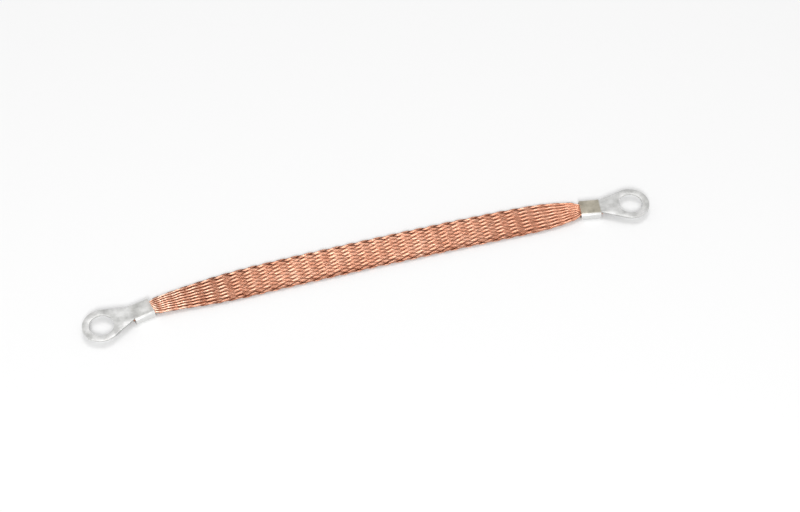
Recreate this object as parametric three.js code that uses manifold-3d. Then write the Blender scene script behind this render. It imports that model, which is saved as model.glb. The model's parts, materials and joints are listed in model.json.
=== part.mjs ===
// A flat braided copper strap with a crimped ring lug at each end, lying on a flat surface.
// Millimetres, +X along the strap, +Z up, origin on the surface under the middle of the strap.
import * as THREE from 'three';
import Module from 'manifold-3d';
import { mergeVertices } from 'three/addons/utils/BufferGeometryUtils.js';

const wasm = await Module();
wasm.setup();

// Ring lugs: a sheet with a bolt hole at one end, folded round the braid at the other
const HOLE_SPACING = 187;
const HOLE_DIAMETER = 8.4;
const RING_DIAMETER = 13;
const HOLE_TO_BARREL = 10.85;
const SHEET = 0.7;
const BARREL_LENGTH = 7;
const BEND_RADIUS = 0.3;
const SEAM_GAP = 0.3;

// Braid: a tube of flat bundles of wire, each over two and under two, rolled flat
const BRAID_WIDTH = 12.5;
const RIDGES_PER_FACE = 8;
const CROSSING_STEP = 2.45;
const STRAND_THICKNESS = 0.26;
const STRAND_CLEARANCE = 0.05;
const STRAND_COVER = 0.87;
const EDGE_COVER = 0.45;
const FOLD_COVER = 0.3;

// The braid in the barrels, and how it opens out from them to its full width
const PACKED_WIDTH = 5.7;
const PRESSED_SHARE = 0.78;
const BARREL_CLEARANCE = 0.1;
const CUT_END_REACH = 0.4;
const LEFT_FLARE = 42;
const RIGHT_FLARE = 20;
const FLARE_POWER = 2.5;

// The way the strap lies: each lug is turned in from the line through the holes, and the braid
// leaves it straight and bends round into a gentle bow
const LEFT_TURN = THREE.MathUtils.degToRad(12);
const RIGHT_TURN = THREE.MathUtils.degToRad(10);
const BEND_REACH = 15;
const FLOOR_CLEARANCE = 0.02;

// Roundness of the drawn arcs
const RING_SEGMENTS = 20;
const BEND_SEGMENTS = 3;

// Round the tube there are twice as many columns as ridges on both faces; a bundle crosses one
// column of the other hand's bundles in each crossing step.
const COLUMNS_PER_FACE = 2 * RIDGES_PER_FACE;
const COLUMNS_ROUND = 2 * COLUMNS_PER_FACE;
const STRANDS_EACH_WAY = COLUMNS_PER_FACE;
const FIRST_PEAK = 0.5;
const FOLD_COLUMNS = 1;

// A bundle rises and falls by this much about the middle of the tube's wall, and the wall is bent
// at its edges about this radius, so that the two faces just clear each other.
const WAVE_HEIGHT = STRAND_THICKNESS + STRAND_CLEARANCE;
const FOLD_RADIUS = WAVE_HEIGHT + (STRAND_THICKNESS + STRAND_CLEARANCE) / 2;
const HALF_THICKNESS = FOLD_RADIUS + WAVE_HEIGHT + STRAND_THICKNESS / 2;

const PACKED_HALF_THICKNESS = HALF_THICKNESS * PRESSED_SHARE;
const BARREL_HEIGHT = 2 * (PACKED_HALF_THICKNESS + BARREL_CLEARANCE + SHEET);
const BARREL_WIDTH = PACKED_WIDTH + 2 * (BARREL_CLEARANCE + SHEET);
const OUTER_BEND = BEND_RADIUS + SHEET;
const NECK_WIDTH = BARREL_WIDTH - 2 * OUTER_BEND;

const bow = bowCurve();
const HALF_BRAID = bow.getLength() / 2;
const HALF_STRAND = HALF_BRAID + BARREL_LENGTH + CUT_END_REACH;

const TINNED = new THREE.MeshStandardMaterial({ color: 0xb9b9b6, roughness: 0.42, metalness: 0.9 });
const COPPER = new THREE.MeshStandardMaterial({ color: 0xc98a6c, roughness: 0.4, metalness: 0.9 });

const clamp = THREE.MathUtils.clamp;
const lerp = THREE.MathUtils.lerp;
const wrap = THREE.MathUtils.euclideanModulo;

// Centreline of the braid in plan, from the mouth of one barrel to the mouth of the other.
function bowCurve() {
  const holeToMouth = HOLE_TO_BARREL + BARREL_LENGTH;
  const leftAim = new THREE.Vector2(Math.cos(LEFT_TURN), Math.sin(LEFT_TURN));
  const rightAim = new THREE.Vector2(-Math.cos(RIGHT_TURN), Math.sin(RIGHT_TURN));
  const leftMouth = new THREE.Vector2(-HOLE_SPACING / 2, 0).addScaledVector(leftAim, holeToMouth);
  const rightMouth = new THREE.Vector2(HOLE_SPACING / 2, 0).addScaledVector(rightAim, holeToMouth);
  return new THREE.CubicBezierCurve(
    leftMouth,
    leftMouth.clone().addScaledVector(leftAim, BEND_REACH),
    rightMouth.clone().addScaledVector(rightAim, BEND_REACH),
    rightMouth,
  );
}

// Point and heading in plan at a distance along the braid from its middle, straight on in a barrel.
function placeAt(along) {
  const share = clamp((along / HALF_BRAID + 1) / 2, 0, 1);
  const heading = bow.getTangentAt(share);
  const beyond = along - (2 * share - 1) * HALF_BRAID;
  const point = bow.getPointAt(share).addScaledVector(heading, beyond);
  return { point, heading };
}

// Share of the full width that the braid has: 0 in a barrel, 1 past the flare at each end.
function spreadAt(along) {
  const left = clamp((HALF_BRAID + along) / LEFT_FLARE, 0, 1);
  const right = clamp((HALF_BRAID - along) / RIGHT_FLARE, 0, 1);
  const opened = (share) => 1 - (1 - share) ** FLARE_POWER;
  return Math.min(opened(left), opened(right));
}

// Size and height of the braid's section: it comes down from the barrels to lie on the surface.
function sectionAt(along) {
  const spread = spreadAt(along);
  const press = lerp(PRESSED_SHARE, 1, spread);
  const halfWidth = lerp(PACKED_WIDTH / 2, BRAID_WIDTH / 2, spread);
  return {
    press,
    halfStraight: halfWidth - HALF_THICKNESS * press,
    height: lerp(BARREL_HEIGHT / 2, HALF_THICKNESS + FLOOR_CLEARANCE, spread),
  };
}

// A point of the flattened tube, at a column round it and a level above the wall's middle.
function tubePoint(along, column, level) {
  const section = sectionAt(along);
  const { point, heading } = placeAt(along);
  const flatColumns = COLUMNS_PER_FACE / 2 - FOLD_COLUMNS;
  const turned = wrap(column - FIRST_PEAK + COLUMNS_PER_FACE / 2, COLUMNS_ROUND) - COLUMNS_PER_FACE / 2;
  const onTop = turned <= COLUMNS_PER_FACE / 2;
  const across = onTop ? turned : COLUMNS_PER_FACE - turned;
  const flat = clamp(across, -flatColumns, flatColumns);
  const angle = (across - flat) / FOLD_COLUMNS * Math.PI / 2;
  const reach = (FOLD_RADIUS + level) * section.press;
  const aside = section.halfStraight * flat / flatColumns + reach * Math.sin(angle);
  const above = reach * Math.cos(angle) * (onTop ? 1 : -1);
  const x = point.x - heading.y * aside;
  const y = point.y + heading.x * aside;
  return new THREE.Vector3(x, y, section.height + above);
}

// 1 where a bundle of the first hand is outermost, -1 where it is innermost, every second column.
function waveAt(column) {
  const fromPeak = wrap(column - FIRST_PEAK + 2, 4) - 2;
  return 1 - Math.abs(fromPeak);
}

// Columns between a place on the tube and the nearer fold.
function columnsToFold(column) {
  const foldColumn = FIRST_PEAK + COLUMNS_PER_FACE / 2;
  const fromFold = wrap(column - foldColumn + COLUMNS_PER_FACE / 2, COLUMNS_PER_FACE);
  return Math.abs(fromFold - COLUMNS_PER_FACE / 2);
}

// Columns at which a bundle bends: its peaks and, at a fold of the tube, the way round the edge.
function bendsAt(column) {
  const isPeak = wrap(column - FIRST_PEAK, 2) === 0;
  return isPeak || columnsToFold(column) <= FOLD_COLUMNS;
}

// Half the width of a bundle, in columns. The second hand's bundles go round inside the folds of
// the tube, where their wires bunch up.
function coverAt(column, hand) {
  const distance = columnsToFold(column);
  if (hand > 0 || distance > FOLD_COLUMNS) {
    return STRAND_COVER;
  }
  return distance === FOLD_COLUMNS ? EDGE_COVER : FOLD_COVER;
}

// Stations of one bundle along the braid, in order, each with the column that it has reached.
function strandStations(hand, index) {
  const start = 2 * index;
  const reach = HALF_STRAND / CROSSING_STEP;
  const stations = [{ along: -HALF_STRAND, column: start - hand * reach }];
  const halfColumns = Math.floor(2 * reach - 0.5);
  for (let step = -halfColumns; step <= halfColumns; step += 1) {
    const column = start + hand * step / 2;
    if (bendsAt(column)) {
      stations.push({ along: step / 2 * CROSSING_STEP, column });
    }
  }
  stations.push({ along: HALF_STRAND, column: start + hand * reach });
  return stations;
}

// One flat bundle of wires: a lens-shaped section swept along its way round the tube.
function strandGeometry(hand, index) {
  const positions = [];
  const faces = [];
  const stations = strandStations(hand, index);
  for (const { along, column } of stations) {
    const level = hand * waveAt(column) * WAVE_HEIGHT;
    const cover = coverAt(column, hand);
    const section = [
      tubePoint(along, column - cover, level),
      tubePoint(along, column, level - STRAND_THICKNESS / 2),
      tubePoint(along, column + cover, level),
      tubePoint(along, column, level + STRAND_THICKNESS / 2),
    ];
    section.forEach((corner) => positions.push(corner.x, corner.y, corner.z));
  }
  for (let ring = 0; ring < stations.length - 1; ring += 1) {
    for (let side = 0; side < 4; side += 1) {
      const a = 4 * ring + side;
      const b = 4 * ring + (side + 1) % 4;
      faces.push(a, b, b + 4, a, b + 4, a + 4);
    }
  }
  const last = 4 * (stations.length - 1);
  faces.push(0, 2, 1, 0, 3, 2, last, last + 1, last + 2, last, last + 2, last + 3);
  const geometry = new THREE.BufferGeometry();
  geometry.setAttribute('position', new THREE.Float32BufferAttribute(positions, 3));
  geometry.setIndex(faces);
  return geometry;
}

// Outline of the tongue: a ring whose sides run straight to the neck and on into the barrel.
function tongueShape() {
  const radius = RING_DIAMETER / 2;
  const halfNeck = NECK_WIDTH / 2;
  const neckDistance = Math.hypot(HOLE_TO_BARREL, halfNeck);
  const tangent = Math.atan2(halfNeck, HOLE_TO_BARREL) + Math.acos(radius / neckDistance);
  const shape = new THREE.Shape();
  shape.moveTo(HOLE_TO_BARREL + SHEET, -halfNeck);
  shape.lineTo(HOLE_TO_BARREL + SHEET, halfNeck);
  shape.lineTo(HOLE_TO_BARREL, halfNeck);
  shape.absarc(0, 0, radius, tangent, 2 * Math.PI - tangent, false);
  shape.lineTo(HOLE_TO_BARREL, -halfNeck);
  const hole = new THREE.Path();
  hole.absarc(0, 0, HOLE_DIAMETER / 2, 0, 2 * Math.PI, true);
  shape.holes.push(hole);
  return shape;
}

// Section of the barrel: the sheet bent round the braid until its two flaps meet in the seam below.
function barrelShape() {
  const halfWidth = BARREL_WIDTH / 2;
  const low = OUTER_BEND;
  const high = BARREL_HEIGHT - OUTER_BEND;
  const side = halfWidth - OUTER_BEND;
  const quarter = Math.PI / 2;
  const shape = new THREE.Shape();
  shape.moveTo(SEAM_GAP / 2, 0);
  shape.absarc(side, low, OUTER_BEND, -quarter, 0, false);
  shape.absarc(side, high, OUTER_BEND, 0, quarter, false);
  shape.absarc(-side, high, OUTER_BEND, quarter, 2 * quarter, false);
  shape.absarc(-side, low, OUTER_BEND, 2 * quarter, 3 * quarter, false);
  shape.lineTo(-SEAM_GAP / 2, 0);
  shape.lineTo(-SEAM_GAP / 2, SHEET);
  shape.absarc(-side, low, BEND_RADIUS, 3 * quarter, 2 * quarter, true);
  shape.absarc(-side, high, BEND_RADIUS, 2 * quarter, quarter, true);
  shape.absarc(side, high, BEND_RADIUS, quarter, 0, true);
  shape.absarc(side, low, BEND_RADIUS, 0, -quarter, true);
  shape.lineTo(SEAM_GAP / 2, SHEET);
  return shape;
}

function toSolid(geometry) {
  const bare = geometry.clone();
  bare.deleteAttribute('normal');
  bare.deleteAttribute('uv');
  const merged = mergeVertices(bare, 1e-4);
  const mesh = new wasm.Mesh({
    numProp: 3,
    vertProperties: merged.attributes.position.array,
    triVerts: new Uint32Array(merged.index.array),
  });
  return new wasm.Manifold(mesh);
}

function toGeometry(solid) {
  const mesh = solid.getMesh();
  const geometry = new THREE.BufferGeometry();
  geometry.setAttribute('position', new THREE.BufferAttribute(mesh.vertProperties, 3));
  geometry.setIndex(new THREE.BufferAttribute(mesh.triVerts, 1));
  return geometry;
}

// A lug with its hole about the origin and its barrel towards +X.
function lugGeometry() {
  const tongue = new THREE.ExtrudeGeometry(tongueShape(), {
    depth: SHEET,
    bevelEnabled: false,
    curveSegments: RING_SEGMENTS,
  });
  tongue.translate(0, 0, BARREL_HEIGHT - SHEET);
  const barrel = new THREE.ExtrudeGeometry(barrelShape(), {
    depth: BARREL_LENGTH,
    bevelEnabled: false,
    curveSegments: BEND_SEGMENTS,
  });
  barrel.rotateZ(Math.PI / 2);
  barrel.rotateY(Math.PI / 2);
  barrel.translate(HOLE_TO_BARREL, 0, 0);
  return toGeometry(toSolid(tongue).add(toSolid(barrel)));
}

function addMesh(parent, name, geometry, material) {
  geometry.computeVertexNormals();
  const mesh = new THREE.Mesh(geometry, material);
  mesh.name = name;
  parent.add(mesh);
  return mesh;
}

function addLugs(parent) {
  const lug = lugGeometry();
  const left = addMesh(parent, 'lug_left', lug, TINNED);
  left.position.x = -HOLE_SPACING / 2;
  left.rotation.z = LEFT_TURN;
  const right = addMesh(parent, 'lug_right', lug.clone(), TINNED);
  right.position.x = HOLE_SPACING / 2;
  right.rotation.z = Math.PI - RIGHT_TURN;
}

function addStrands(parent) {
  const hands = [{ letter: 'a', hand: 1 }, { letter: 'b', hand: -1 }];
  for (const { letter, hand } of hands) {
    for (let index = 0; index < STRANDS_EACH_WAY; index += 1) {
      const name = `strand_${letter}_${String(index + 1).padStart(2, '0')}`;
      addMesh(parent, name, strandGeometry(hand, index), COPPER);
    }
  }
}

// Puts the origin under the middle of the strap's box.
function centre(group) {
  const middle = new THREE.Box3().setFromObject(group, true).getCenter(new THREE.Vector3());
  group.position.set(-middle.x, -middle.y, 0);
}

const strap = new THREE.Group();
addLugs(strap);
addStrands(strap);
centre(strap);

export default strap;
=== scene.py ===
import json
import math

import bmesh
import bpy
import numpy as np
from mathutils import Matrix, Vector


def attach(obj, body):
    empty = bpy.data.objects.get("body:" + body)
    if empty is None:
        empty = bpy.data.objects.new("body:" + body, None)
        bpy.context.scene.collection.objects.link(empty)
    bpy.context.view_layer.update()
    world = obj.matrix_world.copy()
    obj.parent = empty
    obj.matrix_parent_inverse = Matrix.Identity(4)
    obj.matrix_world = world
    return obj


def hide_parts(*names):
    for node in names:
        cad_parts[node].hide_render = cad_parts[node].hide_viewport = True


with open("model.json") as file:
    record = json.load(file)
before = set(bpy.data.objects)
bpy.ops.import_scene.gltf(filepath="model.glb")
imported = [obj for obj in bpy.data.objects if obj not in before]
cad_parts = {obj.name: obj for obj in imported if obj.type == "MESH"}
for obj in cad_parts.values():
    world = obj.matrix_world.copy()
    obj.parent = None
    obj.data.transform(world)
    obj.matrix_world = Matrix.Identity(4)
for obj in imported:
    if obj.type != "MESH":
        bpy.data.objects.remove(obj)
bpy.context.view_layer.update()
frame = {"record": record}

MM = 0.001

# Ring lugs, in millimetres
HOLE_DIAMETER = 8.4
RING_DIAMETER = 13.0
HOLE_TO_BARREL = 10.85
SHEET = 0.7
BARREL_LENGTH = 7.0
BEND_RADIUS = 0.3
SEAM_GAP = 0.3
EDGE_ROUNDING = 0.09
ROUNDING_STEPS = 3
SHARP_EDGE = math.radians(35)
RING_POINTS = 96
TONGUE_SIDE_POINTS = 12
TONGUE_END_POINTS = 9
BEND_POINTS = 10

# Braid: a tube of flat bundles of wire, each over one and under one, rolled flat
BRAID_WIDTH = 12.5
RIDGES_PER_FACE = 8
CROSSING_STEP = 2.45
STRAND_THICKNESS = 0.26
STRAND_CLEARANCE = 0.05
WAVE_SQUARENESS = 1.3
HANDS = (("a", 1), ("b", -1))

# Wires of a bundle, in millimetres, and across the braid in columns of the weave
WIRES_PER_STRAND = 7
WIRE_DIAMETER = 0.205
WIRE_SIDES = 6
WIRE_STEP = 0.6
WIRE_COVER = 0.86
END_SCATTER = (-0.35, 0.25)
LOOSE_SHARE = 0.12
LOOSE_SWAY = 0.22
TIGHT_SWAY = 0.07
SWAY_SPACING = 5.0
RISE_SWAY = 0.02
RISE_SPACING = 3.0
GROOVE = 0.12
PACKED_GROOVE = 0.16
PACKED_STACK = 0.08
CROWN = 0.07
WANDER = 0.5
WANDER_LENGTH = 16.0
WANDER_SEED = 3.0

# Folds at the edges of the braid, in columns, how close the wires are there, and the painted shade
# on them
FOLD_REACH = 0.6
FOLD_FADE = 1.6
FOLD_BUNCHING = 0.25
FOLD_SHADE = 0.25

# The braid in the barrels, and how it opens out from them
PACKED_WIDTH = 5.7
PRESSED_SHARE = 0.78
BARREL_CLEARANCE = 0.1
CUT_END_REACH = 0.4
LEFT_FLARE = 42.0
RIGHT_FLARE = 20.0
FLARE_POWER = 2.5
MOUTH_SWELL = 1.0
MOUTH_PUFF = 0.2
SWELL_START = 2.0
SWELL_REACH = 7.0

# Straight ridges near the barrels, with painted shade in the furrows between them and painted light
# on the ridges
COMBED_REACH = 22.0
COMBED_RISE = 0.15
COMBED_MIDDLE = 0.3
COMBED_FLATTENING = 0.6
# Share of the painted depth shade taken away where the ridges are combed
COMBED_CLEARING = 0.7
RIGHT_FURROW_SHARE = 0.35
FURROW_SHADE = 1.4
FURROW_POWER = 3
RIDGE_PAINTED_LIGHT = 0.9

# The way the strap lies
LEFT_TURN = math.radians(12)
RIGHT_TURN = math.radians(10)
BEND_REACH = 15.0
BOW_SAMPLES = 4001
FLOOR_CLEARANCE = 0.02

# Sizes that follow from the others
COLUMNS_PER_FACE = 2 * RIDGES_PER_FACE
COLUMNS_ROUND = 2 * COLUMNS_PER_FACE
STRANDS_EACH_WAY = COLUMNS_PER_FACE
FIRST_PEAK = 0.5
WAVE_HEIGHT = STRAND_THICKNESS + STRAND_CLEARANCE
FOLD_RADIUS = WAVE_HEIGHT + (STRAND_THICKNESS + STRAND_CLEARANCE) / 2
HALF_THICKNESS = FOLD_RADIUS + WAVE_HEIGHT + STRAND_THICKNESS / 2
BARREL_HEIGHT = 2 * (HALF_THICKNESS * PRESSED_SHARE + BARREL_CLEARANCE + SHEET)
BARREL_WIDTH = PACKED_WIDTH + 2 * (BARREL_CLEARANCE + SHEET)
BARREL_MOUTH = HOLE_TO_BARREL + BARREL_LENGTH
OUTER_BEND = BEND_RADIUS + SHEET
NECK_WIDTH = BARREL_WIDTH - 2 * OUTER_BEND

# Bare copper: tones from dull to bright, and the painted shade by depth in the braid, darker and
# redder deeper in
COPPER_TONES = ((0.0, (0.61, 0.290, 0.187)), (0.45, (0.85, 0.462, 0.315)),
                (0.8, (0.95, 0.60, 0.445)), (1.0, (0.99, 0.75, 0.60)))
PAINTED_SHADES_BY_DEPTH = ((0.08, (1.04, 1.04, 1.03)), (0.40, (0.66, 0.58, 0.55)),
                (0.75, (0.24, 0.145, 0.115)))
TONE_SPREAD = 0.55
TONE_CLOUDS = 0.45
TARNISH = (0.86, 0.75, 0.70, 1)
TARNISH_SPAN = (0.35, 0.65)
TARNISH_STRENGTH = 0.45
COPPER_GLINT = (1.0, 0.74, 0.62, 1)
COPPER_ROUGHNESS = (0.26, 0.44)
COPPER_RELIEF = 0.02
COPPER_RELIEF_STRENGTH = 0.25
COPPER_PATCH_SCALE = 90
COPPER_GRAIN_SCALE = 1400
HANDLED_PATCH_SCALE = 28
HANDLED_GRAIN_SCALE = 300

# Tinned sheet: tones from dark to light, a painted highlight along its rims, painted light on the
# barrel's bent sides, and aged areas
TIN_TONES = ((0.30, (0.36, 0.358, 0.35)), (0.47, (0.50, 0.50, 0.49)),
             (0.55, (0.56, 0.558, 0.55)), (0.72, (0.67, 0.667, 0.66)))
# Colours of the painted highlight on the rims and of the painted light on the barrel's bent sides
PAINTED_RIM_HIGHLIGHT = (0.78, 0.78, 0.77, 1)
PAINTED_SIDE_LIGHT = (0.72, 0.72, 0.71, 1)
MOUTH_WARMTH = (1.0, 0.93, 0.88, 1)
MOUTH_BAND = 1.6
MOUTH_STRENGTH = 0.5
AGED_TIN = (0.65, 0.60, 0.50, 1)
LEFT_AGE = 0.1
RIGHT_AGE = 1.0
# Widths of the painted highlight along the rims, and how the grain breaks it up
HOLE_HIGHLIGHT = 0.22
RING_HIGHLIGHT = 0.2
MOUTH_HIGHLIGHT = 0.25
RING_HIGHLIGHT_END = (0.5, 2.5)
HIGHLIGHT_SPAN = (0.35, 0.6)
HIGHLIGHT_STRENGTH = (0.15, 0.8)
BARREL_START = (HOLE_TO_BARREL - 0.2, HOLE_TO_BARREL + 0.3)
BEND_START = (NECK_WIDTH / 2, NECK_WIDTH / 2 + 0.5)
TIN_ROUGHNESS = (0.30, 0.50)
TIN_RELIEF = 0.06
TIN_RELIEF_STRENGTH = 0.45
TIN_PATCH_SCALE = 260
TIN_GRAIN_SCALE = 2600

# The span that most of the cloudy patches and of the grain falls in
CLOUD_SPAN = (0.3, 0.7)

# Camera, with its place in millimetres, and lamps and floor in metres and watts
LENS = 85
SENSOR_WIDTH = 36
NEAREST_SEEN = 0.01
CAMERA_AZIMUTH = math.radians(-16.54)
CAMERA_ELEVATION = math.radians(50.96)
CAMERA_PLACE = (-105.8, -391.25, 503.0)
LAMPS = (("front lamp", (-0.33, -1.02, 0.95), 0.5, 10.2),
         ("top lamp", (0.1, 0.35, 1.3), 0.6, 3.2))
ROOM_LIGHT = 0.54
BACKDROP_LIGHT = 1.0
FLOOR_REACH = 4.0
FLOOR_HEIGHT = -0.03 * MM
FLOOR_COLOUR = (0.96, 0.96, 0.96, 1)


# Steps that objects and finishes share


def add_object(name, data):
    thing = bpy.data.objects.new(name, data)
    bpy.context.scene.collection.objects.link(thing)
    return thing


def new_material(name):
    material = bpy.data.materials.new(name)
    material.use_nodes = True
    return material, material.node_tree, material.node_tree.nodes["Principled BSDF"]


def set_inputs(node, values):
    for name, value in values.items():
        node.inputs[name].default_value = value


def add_sockets(group, direction, sockets):
    for name, kind in sockets:
        group.interface.new_socket(name, in_out=direction, socket_type="NodeSocket" + kind)


def join_up(tree, links):
    """Links nodes, each row being a node and its output, then a node and its input."""
    for source, output, target, socket in links:
        tree.links.new(source.outputs[output], target.inputs[socket])


def calculate(tree, operation, *terms):
    """The result of one sum, whose terms are numbers or outputs of nodes."""
    node = tree.nodes.new("ShaderNodeMath")
    node.operation = operation
    for term, socket in zip(terms, node.inputs):
        if isinstance(term, float):
            socket.default_value = term
        else:
            tree.links.new(term, socket)
    return node.outputs[0]


def eased(share):
    """A share from 0 to 1 that starts and stops gently."""
    return share * share * (3 - 2 * share)


# Camera, floor and light


def add_camera():
    data = bpy.data.cameras.new("camera")
    data.lens = LENS
    data.sensor_width = SENSOR_WIDTH
    data.clip_start = NEAREST_SEEN
    camera = add_object("camera", data)
    back = Vector((math.sin(CAMERA_AZIMUTH) * math.cos(CAMERA_ELEVATION),
                   -math.cos(CAMERA_AZIMUTH) * math.cos(CAMERA_ELEVATION),
                   math.sin(CAMERA_ELEVATION)))
    camera.location = Vector(CAMERA_PLACE) * MM
    camera.rotation_euler = back.to_track_quat("Z", "Y").to_euler()
    bpy.context.scene.camera = camera


def add_lamp(name, place, width, power):
    """A round lamp that points at the middle of the strap."""
    data = bpy.data.lights.new(name, "AREA")
    data.shape = "DISK"
    data.size = width
    data.energy = power
    lamp = add_object(name, data)
    lamp.location = place
    lamp.rotation_euler = Vector(place).to_track_quat("Z", "Y").to_euler()


def add_world():
    """White wherever it is seen or mirrored, and a softer light on everything."""
    world = bpy.data.worlds.new("studio")
    bpy.context.scene.world = world
    world.use_nodes = True
    tree = world.node_tree
    tree.nodes.clear()
    path = tree.nodes.new("ShaderNodeLightPath")
    seen = calculate(tree, "MAXIMUM", path.outputs["Is Camera Ray"], path.outputs["Is Glossy Ray"])
    seen = calculate(tree, "MAXIMUM", seen, path.outputs["Is Transmission Ray"])
    mix = tree.nodes.new("ShaderNodeMixShader")
    tree.links.new(seen, mix.inputs[0])
    for socket, strength in ((1, ROOM_LIGHT), (2, BACKDROP_LIGHT)):
        white = tree.nodes.new("ShaderNodeBackground")
        set_inputs(white, {"Color": (1, 1, 1, 1), "Strength": strength})
        tree.links.new(white.outputs[0], mix.inputs[socket])
    out = tree.nodes.new("ShaderNodeOutputWorld")
    tree.links.new(mix.outputs[0], out.inputs["Surface"])


def add_floor():
    mesh = bpy.data.meshes.new("floor")
    corners = [(x * FLOOR_REACH, y * FLOOR_REACH, FLOOR_HEIGHT)
               for x, y in ((-1, -1), (1, -1), (1, 1), (-1, 1))]
    mesh.from_pydata(corners, [], [(0, 1, 2, 3)])
    floor = add_object("floor", mesh)
    material, _, shader = new_material("pale floor")
    set_inputs(shader, {"Base Color": FLOOR_COLOUR, "Roughness": 0.9, "Specular IOR Level": 0.1})
    mesh.materials.append(material)


# The way the braid lies


def centres_of_holes():
    """Centres of the two bolt holes in plan, in millimetres."""
    centres = {}
    for opening in frame["record"]["physics"]["openings"]:
        low, high = np.array(opening["box_m"])
        centres[opening["name"]] = ((low + high) / 2 / MM)[:2]
    return centres["left_bolt_hole"], centres["right_bolt_hole"]


LEFT_HOLE, RIGHT_HOLE = centres_of_holes()


def bow_control():
    """Ends of the bow at the barrels' mouths, and the points that shape it between them."""
    left_aim = np.array([math.cos(LEFT_TURN), math.sin(LEFT_TURN)])
    right_aim = np.array([-math.cos(RIGHT_TURN), math.sin(RIGHT_TURN)])
    left = LEFT_HOLE + BARREL_MOUTH * left_aim
    right = RIGHT_HOLE + BARREL_MOUTH * right_aim
    return left, left + BEND_REACH * left_aim, right + BEND_REACH * right_aim, right


BOW = bow_control()


def bow_samples():
    """Points, headings and lengths all along the bow."""
    share = np.linspace(0, 1, BOW_SAMPLES)[:, None]
    rest = 1 - share
    points = (rest ** 3 * BOW[0] + 3 * rest ** 2 * share * BOW[1]
              + 3 * rest * share ** 2 * BOW[2] + share ** 3 * BOW[3])
    slopes = (rest ** 2 * (BOW[1] - BOW[0]) + 2 * rest * share * (BOW[2] - BOW[1])
              + share ** 2 * (BOW[3] - BOW[2]))
    steps = np.linalg.norm(np.diff(points, axis=0), axis=1)
    lengths = np.concatenate([[0], np.cumsum(steps)])
    return points, slopes / np.linalg.norm(slopes, axis=1)[:, None], lengths


BOW_POINTS, BOW_HEADINGS, BOW_LENGTHS = bow_samples()
HALF_BRAID = BOW_LENGTHS[-1] / 2
HALF_STRAND = HALF_BRAID + BARREL_LENGTH + CUT_END_REACH


def place_at(along):
    """Points and headings in plan at distances along the braid from its middle."""
    reached = np.clip(along + HALF_BRAID, 0, 2 * HALF_BRAID)
    beyond = along + HALF_BRAID - reached
    point, heading = (np.stack([np.interp(reached, BOW_LENGTHS, row) for row in rows.T], axis=1)
                      for rows in (BOW_POINTS, BOW_HEADINGS))
    return point + heading * beyond[:, None], heading


def opened(outside, flare):
    """0 in a barrel, 1 where the braid has its full width."""
    return 1 - (1 - np.clip(outside / flare, 0, 1)) ** FLARE_POWER


def spread_at(along):
    """0 in the barrels, 1 past the flare at each end."""
    return np.minimum(opened(HALF_BRAID + along, LEFT_FLARE),
                      opened(HALF_BRAID - along, RIGHT_FLARE))


def swell_at(along):
    """1 just outside a barrel, where the squeezed braid springs open, down to 0 further on."""
    outside = HALF_BRAID - np.abs(along)
    start = np.clip(outside / SWELL_START, 0, 1)
    return eased(start) * np.exp(-(outside / SWELL_REACH) ** 2)


def combed_at(along):
    """How straight the ridges run along the braid: most in the barrels, 0 further on."""
    outside = np.clip(HALF_BRAID - np.abs(along), 0, None)
    return np.exp(-(outside / COMBED_REACH) ** 2)


def tube_points(along, column, level):
    """Points of the flattened tube, at columns round it and levels above the wall's middle."""
    spread = spread_at(along)
    swell = swell_at(along)
    press = PRESSED_SHARE + (1 - PRESSED_SHARE) * spread + MOUTH_PUFF * swell
    half_width = (PACKED_WIDTH + (BRAID_WIDTH - PACKED_WIDTH) * spread + MOUTH_SWELL * swell) / 2
    half_straight = half_width - HALF_THICKNESS * press
    height = BARREL_HEIGHT / 2 + (HALF_THICKNESS + FLOOR_CLEARANCE - BARREL_HEIGHT / 2) * spread
    half_face = COLUMNS_PER_FACE / 2
    turned = np.mod(column - FIRST_PEAK + half_face, COLUMNS_ROUND) - half_face
    on_top = turned <= half_face
    across = np.where(on_top, turned, COLUMNS_PER_FACE - turned)
    flat = np.clip(across, 1 - half_face, half_face - 1)
    angle = (across - flat) * math.pi / 2
    reach = (FOLD_RADIUS + level) * press
    aside = half_straight * flat / (half_face - 1) + reach * np.sin(angle)
    above = reach * np.cos(angle) * np.where(on_top, 1, -1)
    point, heading = place_at(along)
    return np.stack([point[:, 0] - heading[:, 1] * aside, point[:, 1] + heading[:, 0] * aside,
                     height + above], axis=1)


def wave_at(column):
    """1 where the first hand's bundles are outermost, -1 where they are innermost."""
    return np.tanh(WAVE_SQUARENESS * np.cos(math.pi * column)) / math.tanh(WAVE_SQUARENESS)


def columns_to_fold(column):
    from_fold = np.mod(column - FIRST_PEAK, COLUMNS_PER_FACE)
    return np.abs(from_fold - COLUMNS_PER_FACE / 2)


# Wires of the braid


def slow_wander(rng, along, knot_spacing):
    """A smooth random value along a wire, about -1 to 1."""
    knots = np.arange(-HALF_STRAND - knot_spacing, HALF_STRAND + 2 * knot_spacing, knot_spacing)
    values = rng.uniform(-1, 1, len(knots))
    place = (along - knots[0]) / knot_spacing
    below = np.floor(place).astype(int)
    blend = eased(place - below)
    return values[below] * (1 - blend) + values[below + 1] * blend


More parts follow.
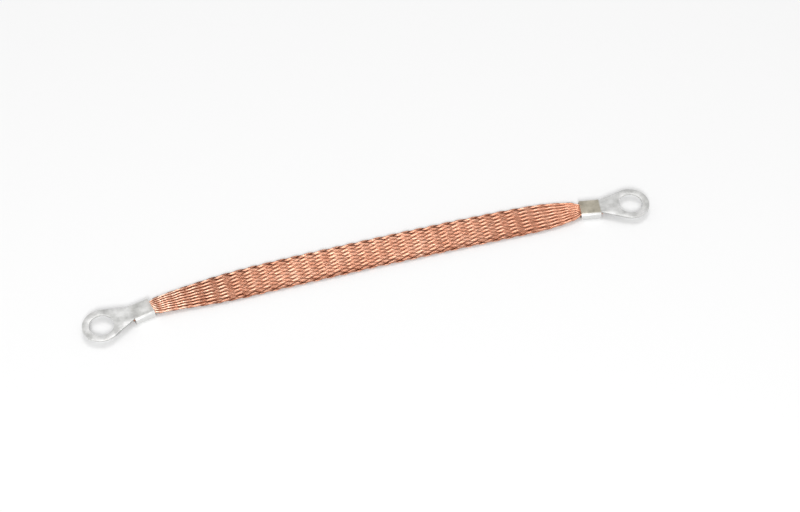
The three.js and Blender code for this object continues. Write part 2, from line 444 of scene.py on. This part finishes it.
def wire_path(rng, hand, index, wire):
    """One wire's points in millimetres, the painted shade at each, darker where it lies deeper in
    the braid, at the folds and in the furrows, and its tone with painted light on the ridges.
    """
    reach = HALF_STRAND + rng.uniform(*END_SCATTER, 2)
    along = np.linspace(-reach[0], reach[1], int(2 * HALF_STRAND / WIRE_STEP))
    centre = 2 * index + hand * along / CROSSING_STEP
    aside = 2 * wire / (WIRES_PER_STRAND - 1) - 1
    near_fold = 1 - np.clip((columns_to_fold(centre) - FOLD_REACH) / FOLD_FADE, 0, 1)
    bunch = 1 - FOLD_BUNCHING * near_fold
    sway = LOOSE_SWAY if rng.uniform() < LOOSE_SHARE else TIGHT_SWAY
    offset = WIRE_COVER * bunch * aside + sway * slow_wander(rng, along, SWAY_SPACING)
    spread = spread_at(along)
    packed = 1 - spread
    combed = combed_at(along)
    swing = WAVE_HEIGHT * (1 - COMBED_FLATTENING * combed)
    wave = wave_at(centre + offset / 2)
    ridge = -np.cos(math.pi * (centre + offset))
    stack = (wire % 3 - 1) * PACKED_STACK * packed
    stack = stack + COMBED_RISE * (ridge - COMBED_MIDDLE) * combed
    groove = (GROOVE + PACKED_GROOVE * packed) * (1 - np.abs(wave))
    level = hand * wave * swing + stack - groove
    level = level + RISE_SWAY * slow_wander(rng, along, RISE_SPACING)
    level = level - CROWN * spread * aside * aside
    # Strength of the painted shade in the furrows and the painted light on the ridges, weaker at
    # the right end
    painted_relief_light = combed * np.where(along < 0, 1, RIGHT_FURROW_SHARE)
    # Painted shade: darker deeper in the braid and at the folds, less where combed, and darker in
    # the furrows
    painted_shade = (WAVE_HEIGHT - level) / (2 * WAVE_HEIGHT) + FOLD_SHADE * near_fold
    painted_shade = painted_shade * (1 - COMBED_CLEARING * combed)
    painted_shade = painted_shade + FURROW_SHADE * painted_relief_light * (0.5 - ridge / 2) ** FURROW_POWER
    # Random tone of each wire, plus painted light on the ridges and painted shade in the furrows
    tone_and_painted_sheen = rng.uniform(0, 1) + RIDGE_PAINTED_LIGHT * painted_relief_light * ridge
    return tube_points(along, centre + offset, level), np.clip(painted_shade, 0, 1), tone_and_painted_sheen


def wire_tree():
    """Geometry Nodes that turn lines into round wires that wander a little."""
    tree = bpy.data.node_groups.new("round wires", "GeometryNodeTree")
    add_sockets(tree, "INPUT", (("Geometry", "Geometry"), ("Wire Diameter", "Float"),
                                ("Sides", "Int"), ("Wander", "Float"), ("Wander Length", "Float"),
                                ("Seed", "Float"), ("Wire", "Material")))
    add_sockets(tree, "OUTPUT", (("Geometry", "Geometry"),))
    nodes = tree.nodes
    given = nodes.new("NodeGroupInput")
    lines = nodes.new("GeometryNodeMeshToCurve")
    position = nodes.new("GeometryNodeInputPosition")
    frequency = nodes.new("ShaderNodeMath")
    frequency.operation = "DIVIDE"
    frequency.inputs[0].default_value = 1.0
    noise = nodes.new("ShaderNodeTexNoise")
    noise.noise_dimensions = "4D"
    noise.inputs["Detail"].default_value = 1.0
    middle = nodes.new("ShaderNodeVectorMath")
    middle.operation = "SUBTRACT"
    middle.inputs[1].default_value = (0.5, 0.5, 0.5)
    flatten = nodes.new("ShaderNodeVectorMath")
    flatten.operation = "MULTIPLY"
    flatten.inputs[1].default_value = (1.0, 1.0, 0.1)
    amount = nodes.new("ShaderNodeVectorMath")
    amount.operation = "SCALE"
    moved = nodes.new("GeometryNodeSetPosition")
    radius = nodes.new("ShaderNodeMath")
    radius.operation = "MULTIPLY"
    radius.inputs[1].default_value = 0.5
    circle = nodes.new("GeometryNodeCurvePrimitiveCircle")
    tubes = nodes.new("GeometryNodeCurveToMesh")
    tubes.inputs["Fill Caps"].default_value = True
    smooth = nodes.new("GeometryNodeSetShadeSmooth")
    realize = nodes.new("GeometryNodeRealizeInstances")
    finish = nodes.new("GeometryNodeSetMaterial")
    result = nodes.new("NodeGroupOutput")
    join_up(tree, ((given, "Geometry", lines, "Mesh"),
                   (given, "Wander Length", frequency, 1),
                   (position, "Position", noise, "Vector"),
                   (given, "Seed", noise, "W"),
                   (frequency, 0, noise, "Scale"),
                   (noise, "Color", middle, 0),
                   (middle, 0, flatten, 0),
                   (flatten, 0, amount, 0),
                   (given, "Wander", amount, "Scale"),
                   (lines, "Curve", moved, "Geometry"),
                   (amount, 0, moved, "Offset"),
                   (given, "Wire Diameter", radius, 0),
                   (radius, 0, circle, "Radius"),
                   (given, "Sides", circle, "Resolution"),
                   (moved, "Geometry", tubes, "Curve"),
                   (circle, "Curve", tubes, "Profile Curve"),
                   (tubes, "Mesh", smooth, "Geometry"),
                   (smooth, "Geometry", realize, "Geometry"),
                   (realize, "Geometry", finish, "Geometry"),
                   (given, "Wire", finish, "Material"),
                   (finish, "Geometry", result, "Geometry")))
    return tree


def keep_result(piece):
    """Turns a piece with modifiers into the plain mesh that they make."""
    bpy.context.view_layer.update()
    graph = bpy.context.evaluated_depsgraph_get()
    mesh = bpy.data.meshes.new_from_object(piece.evaluated_get(graph))
    mesh.name = piece.name
    piece.modifiers.clear()
    piece.data = mesh


def bundle_lines(name, hand, index):
    """One bundle's wires as lines, with the tone, painted light on the ridges included, and the
    painted shade at each point.
    """
    rng = np.random.default_rng(1000 * (2 + hand) + index)
    points, lines, tones_and_painted_sheen, painted_shades = [], [], [], []
    for wire in range(WIRES_PER_STRAND):
        path, painted_shade, tone_and_painted_sheen = wire_path(rng, hand, index, wire)
        first = len(points)
        points.extend(tuple(point) for point in path * MM)
        lines.extend((first + i, first + i + 1) for i in range(len(path) - 1))
        tones_and_painted_sheen.extend(tone_and_painted_sheen)
        painted_shades.extend(painted_shade)
    mesh = bpy.data.meshes.new(name + "_lines")
    mesh.from_pydata(points, lines, [])
    for value, values in (("tone_and_painted_sheen", tones_and_painted_sheen), ("painted_shade", painted_shades)):
        mesh.attributes.new(value, "FLOAT", "POINT").data.foreach_set("value", values)
    return mesh


def add_wires(tree, copper, letter, hand, index):
    name = f"wires_{letter}_{index + 1:02d}"
    piece = add_object(name, bundle_lines(name, hand, index))
    wires = piece.modifiers.new("wires", "NODES")
    wires.node_group = tree
    sockets = {item.name: item.identifier for item in tree.interface.items_tree
               if item.in_out == "INPUT"}
    wires[sockets["Wire Diameter"]] = WIRE_DIAMETER * MM
    wires[sockets["Sides"]] = WIRE_SIDES
    wires[sockets["Wander"]] = WANDER * MM
    wires[sockets["Wander Length"]] = WANDER_LENGTH * MM
    wires[sockets["Seed"]] = WANDER_SEED
    wires[sockets["Wire"]] = copper
    keep_result(piece)
    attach(piece, "root")
    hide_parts(f"strand_{letter}_{index + 1:02d}")


# Lugs


def between(start, end, count):
    """Evenly spaced values without the two at the ends."""
    return list(np.linspace(start, end, count)[1:-1])


def tongue_outline():
    """Directions from the hole's centre, and how far the tongue reaches in each."""
    half_neck = NECK_WIDTH / 2
    radius = RING_DIAMETER / 2
    end = HOLE_TO_BARREL + SHEET
    far = math.hypot(HOLE_TO_BARREL, half_neck)
    tangent = math.atan2(half_neck, HOLE_TO_BARREL) + math.acos(radius / far)
    corner = math.atan2(half_neck, end)
    neck = math.atan2(half_neck, HOLE_TO_BARREL)
    turns = sorted([-tangent, -neck, -corner, corner, neck, tangent]
                   + between(tangent, 2 * math.pi - tangent, RING_POINTS)
                   + between(-corner, corner, TONGUE_END_POINTS)
                   + between(neck, tangent, TONGUE_SIDE_POINTS)
                   + between(-tangent, -neck, TONGUE_SIDE_POINTS))
    outline = []
    for turn in turns:
        heading = np.array([math.cos(turn), math.sin(turn)])
        away = abs((turn + math.pi) % (2 * math.pi) - math.pi)
        if away <= corner + 1e-9:
            distance = end / heading[0]
        elif away <= neck + 1e-9:
            distance = half_neck / abs(heading[1])
        elif away < tangent:
            distance = radius / math.cos(tangent - away)
        else:
            distance = radius
        outline.append((heading, distance))
    return outline


def tongue_mesh():
    mesh = bmesh.new()
    outline = tongue_outline()
    rings = []
    for height in (BARREL_HEIGHT - SHEET, BARREL_HEIGHT):
        inner = [mesh.verts.new((*(heading * HOLE_DIAMETER / 2), height)) for heading, _ in outline]
        outer = [mesh.verts.new((*(heading * reach), height)) for heading, reach in outline]
        rings.append((inner, outer))
    (low_in, low_out), (high_in, high_out) = rings
    count = len(outline)
    for i in range(count):
        j = (i + 1) % count
        mesh.faces.new((high_in[i], high_out[i], high_out[j], high_in[j]))
        mesh.faces.new((low_out[i], low_in[i], low_in[j], low_out[j]))
        mesh.faces.new((low_out[i], low_out[j], high_out[j], high_out[i]))
        mesh.faces.new((low_in[j], low_in[i], high_in[i], high_in[j]))
    return mesh


def barrel_section(radius, lip_height):
    """One face of the folded sheet, from the seam round the four bends back to the seam."""
    side = BARREL_WIDTH / 2 - OUTER_BEND
    low, high = OUTER_BEND, BARREL_HEIGHT - OUTER_BEND
    quarter = math.pi / 2
    points = [(SEAM_GAP / 2, lip_height)]
    for bend, (x, z) in enumerate(((side, low), (side, high), (-side, high), (-side, low))):
        for turn in np.linspace((bend - 1) * quarter, bend * quarter, BEND_POINTS):
            points.append((x + radius * math.cos(turn), z + radius * math.sin(turn)))
    return points + [(-SEAM_GAP / 2, lip_height)]


def barrel_mesh():
    mesh = bmesh.new()
    sections = (barrel_section(OUTER_BEND, 0), barrel_section(BEND_RADIUS, SHEET))
    (near_out, near_in), (far_out, far_in) = (
        [[mesh.verts.new((along, -x, z)) for x, z in section] for section in sections]
        for along in (HOLE_TO_BARREL, BARREL_MOUTH))
    last = len(near_out) - 1
    for i in range(last):
        mesh.faces.new((near_out[i], far_out[i], far_out[i + 1], near_out[i + 1]))
        mesh.faces.new((near_in[i], near_in[i + 1], far_in[i + 1], far_in[i]))
        mesh.faces.new((near_out[i], near_out[i + 1], near_in[i + 1], near_in[i]))
        mesh.faces.new((far_out[i], far_in[i], far_in[i + 1], far_out[i + 1]))
    for i in (0, last):
        mesh.faces.new((near_out[i], near_in[i], far_in[i], far_out[i]))
    return mesh


def object_of(name, mesh):
    bmesh.ops.recalc_face_normals(mesh, faces=mesh.faces)
    data = bpy.data.meshes.new(name)
    mesh.to_mesh(data)
    mesh.free()
    return add_object(name, data)


def bare_lug(name):
    """Tongue and barrel as one piece with rounded edges, in millimetres about the hole."""
    piece = object_of(name, tongue_mesh())
    barrel = object_of(name + "_barrel", barrel_mesh())
    union = piece.modifiers.new("union", "BOOLEAN")
    union.operation = "UNION"
    union.object = barrel
    union.solver = "EXACT"
    keep_result(piece)
    bpy.data.objects.remove(barrel)
    rounding = piece.modifiers.new("edges", "BEVEL")
    rounding.width = EDGE_ROUNDING
    rounding.segments = ROUNDING_STEPS
    rounding.limit_method = "ANGLE"
    rounding.angle_limit = SHARP_EDGE
    keep_result(piece)
    return piece


def add_lug(name, node, hole, turn, tinned, age):
    piece = bare_lug(name)
    mesh = piece.data
    places = np.empty(3 * len(mesh.vertices))
    mesh.vertices.foreach_get("co", places)
    places[2::3] = np.minimum(places[2::3], BARREL_HEIGHT)
    mesh.vertices.foreach_set("co", places)
    mesh.attributes.new("place", "FLOAT_VECTOR", "POINT").data.foreach_set("vector", places)
    ages = [age] * len(mesh.vertices)
    mesh.attributes.new("dull", "FLOAT", "POINT").data.foreach_set("value", ages)
    mesh.transform(Matrix.Translation((hole[0] * MM, hole[1] * MM, 0))
                   @ Matrix.Rotation(turn, 4, "Z") @ Matrix.Scale(MM, 4))
    mesh.shade_smooth()
    mesh.set_sharp_from_angle(angle=SHARP_EDGE)
    mesh.materials.clear()
    mesh.materials.append(tinned)
    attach(piece, "root")
    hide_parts(node)


# Finishes


def mottle_group():
    """Cloudy patches and fine grain that both metals use."""
    group = bpy.data.node_groups.new("mottle", "ShaderNodeTree")
    add_sockets(group, "INPUT", (("Vector", "Vector"), ("Patch Scale", "Float"),
                                 ("Grain Scale", "Float")))
    add_sockets(group, "OUTPUT", (("Patches", "Float"), ("Grain", "Float")))
    given = group.nodes.new("NodeGroupInput")
    patches = group.nodes.new("ShaderNodeTexNoise")
    set_inputs(patches, {"Detail": 4, "Roughness": 0.6})
    grain = group.nodes.new("ShaderNodeTexNoise")
    set_inputs(grain, {"Detail": 3, "Roughness": 0.7})
    result = group.nodes.new("NodeGroupOutput")
    join_up(group, ((given, "Vector", patches, "Vector"),
                    (given, "Vector", grain, "Vector"),
                    (given, "Patch Scale", patches, "Scale"),
                    (given, "Grain Scale", grain, "Scale"),
                    (patches, "Fac", result, "Patches"),
                    (grain, "Fac", result, "Grain")))
    return group


def mottled(tree, mottle, patch_scale, grain_scale):
    """Patches and grain over one piece."""
    coords = tree.nodes.new("ShaderNodeTexCoord")
    node = tree.nodes.new("ShaderNodeGroup")
    node.node_tree = mottle
    set_inputs(node, {"Patch Scale": patch_scale, "Grain Scale": grain_scale})
    tree.links.new(coords.outputs["Object"], node.inputs["Vector"])
    return node.outputs["Patches"], node.outputs["Grain"]


def attribute(tree, name, output):
    node = tree.nodes.new("ShaderNodeAttribute")
    node.attribute_name = name
    return node.outputs[output]


def toned(tree, value, stops):
    """Colours that go from stop to stop with a value."""
    node = tree.nodes.new("ShaderNodeValToRGB")
    elements = node.color_ramp.elements
    while len(elements) < len(stops):
        elements.new(0.5)
    for element, (place, colour) in zip(elements, stops):
        element.position = place
        element.color = (*colour, 1)
    tree.links.new(value, node.inputs["Fac"])
    return node.outputs["Color"]


def rescaled(tree, value, span, low, high):
    """A value brought from its span to one from low to high, and held at the ends."""
    node = tree.nodes.new("ShaderNodeMapRange")
    set_inputs(node, {"From Min": span[0], "From Max": span[1], "To Min": low, "To Max": high})
    tree.links.new(value, node.inputs["Value"])
    return node.outputs["Result"]


def laid_over(tree, mask, under, colour, blend):
    """A colour mixed or multiplied into another as far as the mask says."""
    node = tree.nodes.new("ShaderNodeMix")
    node.data_type = "RGBA"
    node.blend_type = blend
    node.inputs["B"].default_value = colour
    tree.links.new(mask, node.inputs["Factor"])
    tree.links.new(under, node.inputs["A"])
    return node.outputs["Result"]


def finish_metal(tree, shader, colour, grain, roughness, strength, relief):
    """Colours the metal, and gives it the roughness and the fine relief of the grain."""
    bump = tree.nodes.new("ShaderNodeBump")
    set_inputs(bump, {"Strength": strength, "Distance": relief * MM})
    tree.links.new(grain, bump.inputs["Height"])
    tree.links.new(colour, shader.inputs["Base Color"])
    tree.links.new(rescaled(tree, grain, CLOUD_SPAN, *roughness), shader.inputs["Roughness"])
    tree.links.new(bump.outputs["Normal"], shader.inputs["Normal"])


def copper_material(mottle):
    material, tree, shader = new_material("bare copper wire")
    patches, grain = mottled(tree, mottle, COPPER_PATCH_SCALE, COPPER_GRAIN_SCALE)
    handled, _ = mottled(tree, mottle, HANDLED_PATCH_SCALE, HANDLED_GRAIN_SCALE)
    clouds = rescaled(tree, patches, CLOUD_SPAN, 0.0, TONE_CLOUDS)
    tone_and_painted_sheen = calculate(tree, "MULTIPLY_ADD", attribute(tree, "tone_and_painted_sheen", "Fac"), TONE_SPREAD, clouds)
    bare = toned(tree, tone_and_painted_sheen, COPPER_TONES)
    dulled = rescaled(tree, handled, TARNISH_SPAN, 0.0, TARNISH_STRENGTH)
    tarnished = laid_over(tree, dulled, bare, TARNISH, "MULTIPLY")
    # Painted shade: the colour is darker and redder where the wires lie deeper in the braid
    shaded = tree.nodes.new("ShaderNodeVectorMath")
    shaded.operation = "MULTIPLY"
    tree.links.new(tarnished, shaded.inputs[0])
    tree.links.new(toned(tree, attribute(tree, "painted_shade", "Fac"), PAINTED_SHADES_BY_DEPTH), shaded.inputs[1])
    finish_metal(tree, shader, shaded.outputs[0], grain, COPPER_ROUGHNESS,
                 COPPER_RELIEF_STRENGTH, COPPER_RELIEF)
    set_inputs(shader, {"Metallic": 1.0, "Specular Tint": COPPER_GLINT})
    return material


def rim(tree, distance, place, width):
    """1 on a rim, down to 0 at a width from it."""
    gap = calculate(tree, "ABSOLUTE", calculate(tree, "SUBTRACT", distance, place))
    return rescaled(tree, gap, (0.0, width), 1.0, 0.0)


def painted_rim_highlight(tree, parts, grain):
    """Painted highlight: 1 along the rims of the ring, the hole and the barrel, broken up by the
    grain.
    """
    flat = tree.nodes.new("ShaderNodeCombineXYZ")
    away = tree.nodes.new("ShaderNodeVectorMath")
    away.operation = "LENGTH"
    join_up(tree, ((parts, "X", flat, "X"), (parts, "Y", flat, "Y"), (flat, 0, away, 0)))
    hole = rim(tree, away.outputs["Value"], HOLE_DIAMETER / 2, HOLE_HIGHLIGHT)
    ring = rim(tree, away.outputs["Value"], RING_DIAMETER / 2, RING_HIGHLIGHT)
    mouth = rim(tree, parts.outputs["X"], BARREL_MOUTH, MOUTH_HIGHLIGHT)
    round_part = rescaled(tree, parts.outputs["X"], RING_HIGHLIGHT_END, 1.0, 0.0)
    ring = calculate(tree, "MULTIPLY", ring, round_part)
    edges = calculate(tree, "MAXIMUM", hole, ring)
    edges = calculate(tree, "MAXIMUM", edges, mouth)
    return calculate(tree, "MULTIPLY", edges, rescaled(tree, grain, HIGHLIGHT_SPAN, *HIGHLIGHT_STRENGTH))


def barrel_areas(tree, parts):
    """Masks of the barrel's bent sides, which get painted light, and of its flats where the tin has
    dulled.
    """
    barrel = rescaled(tree, parts.outputs["X"], BARREL_START, 0.0, 1.0)
    aside = calculate(tree, "ABSOLUTE", parts.outputs["Y"])
    painted_side_light = calculate(tree, "MULTIPLY", barrel, rescaled(tree, aside, BEND_START, 0.0, 1.0))
    flat = calculate(tree, "MULTIPLY", barrel, rescaled(tree, aside, BEND_START, 1.0, 0.0))
    return painted_side_light, calculate(tree, "MULTIPLY", flat, attribute(tree, "dull", "Fac"))


def tinned_material(mottle):
    material, tree, shader = new_material("matt tinned sheet")
    patches, grain = mottled(tree, mottle, TIN_PATCH_SCALE, TIN_GRAIN_SCALE)
    parts = tree.nodes.new("ShaderNodeSeparateXYZ")
    tree.links.new(attribute(tree, "place", "Vector"), parts.inputs[0])
    painted_side_light, aged = barrel_areas(tree, parts)
    mouth = rescaled(tree, parts.outputs["X"], (BARREL_MOUTH - MOUTH_BAND, BARREL_MOUTH),
                     0.0, MOUTH_STRENGTH)
    colour = toned(tree, patches, TIN_TONES)
    # Painted highlight along the rims
    colour = laid_over(tree, painted_rim_highlight(tree, parts, grain), colour, PAINTED_RIM_HIGHLIGHT, "MIX")
    colour = laid_over(tree, mouth, colour, MOUTH_WARMTH, "MULTIPLY")
    # Painted light on the barrel's bent sides
    colour = laid_over(tree, painted_side_light, colour, PAINTED_SIDE_LIGHT, "MIX")
    colour = laid_over(tree, aged, colour, AGED_TIN, "MULTIPLY")
    finish_metal(tree, shader, colour, grain, TIN_ROUGHNESS, TIN_RELIEF_STRENGTH, TIN_RELIEF)
    set_inputs(shader, {"Metallic": 0.85})
    return material


bpy.context.scene.view_settings.view_transform = "Standard"
add_camera()
add_world()
add_floor()
for lamp_name, lamp_place, lamp_width, lamp_power in LAMPS:
    add_lamp(lamp_name, lamp_place, lamp_width, lamp_power)
MOTTLE = mottle_group()
COPPER = copper_material(MOTTLE)
TINNED = tinned_material(MOTTLE)
WIRES = wire_tree()
for strand in range(STRANDS_EACH_WAY):
    for strand_letter, strand_hand in HANDS:
        add_wires(WIRES, COPPER, strand_letter, strand_hand, strand)
add_lug("left_lug_sheet", "lug_left", LEFT_HOLE, LEFT_TURN, TINNED, LEFT_AGE)
add_lug("right_lug_sheet", "lug_right", RIGHT_HOLE, math.pi - RIGHT_TURN, TINNED, RIGHT_AGE)
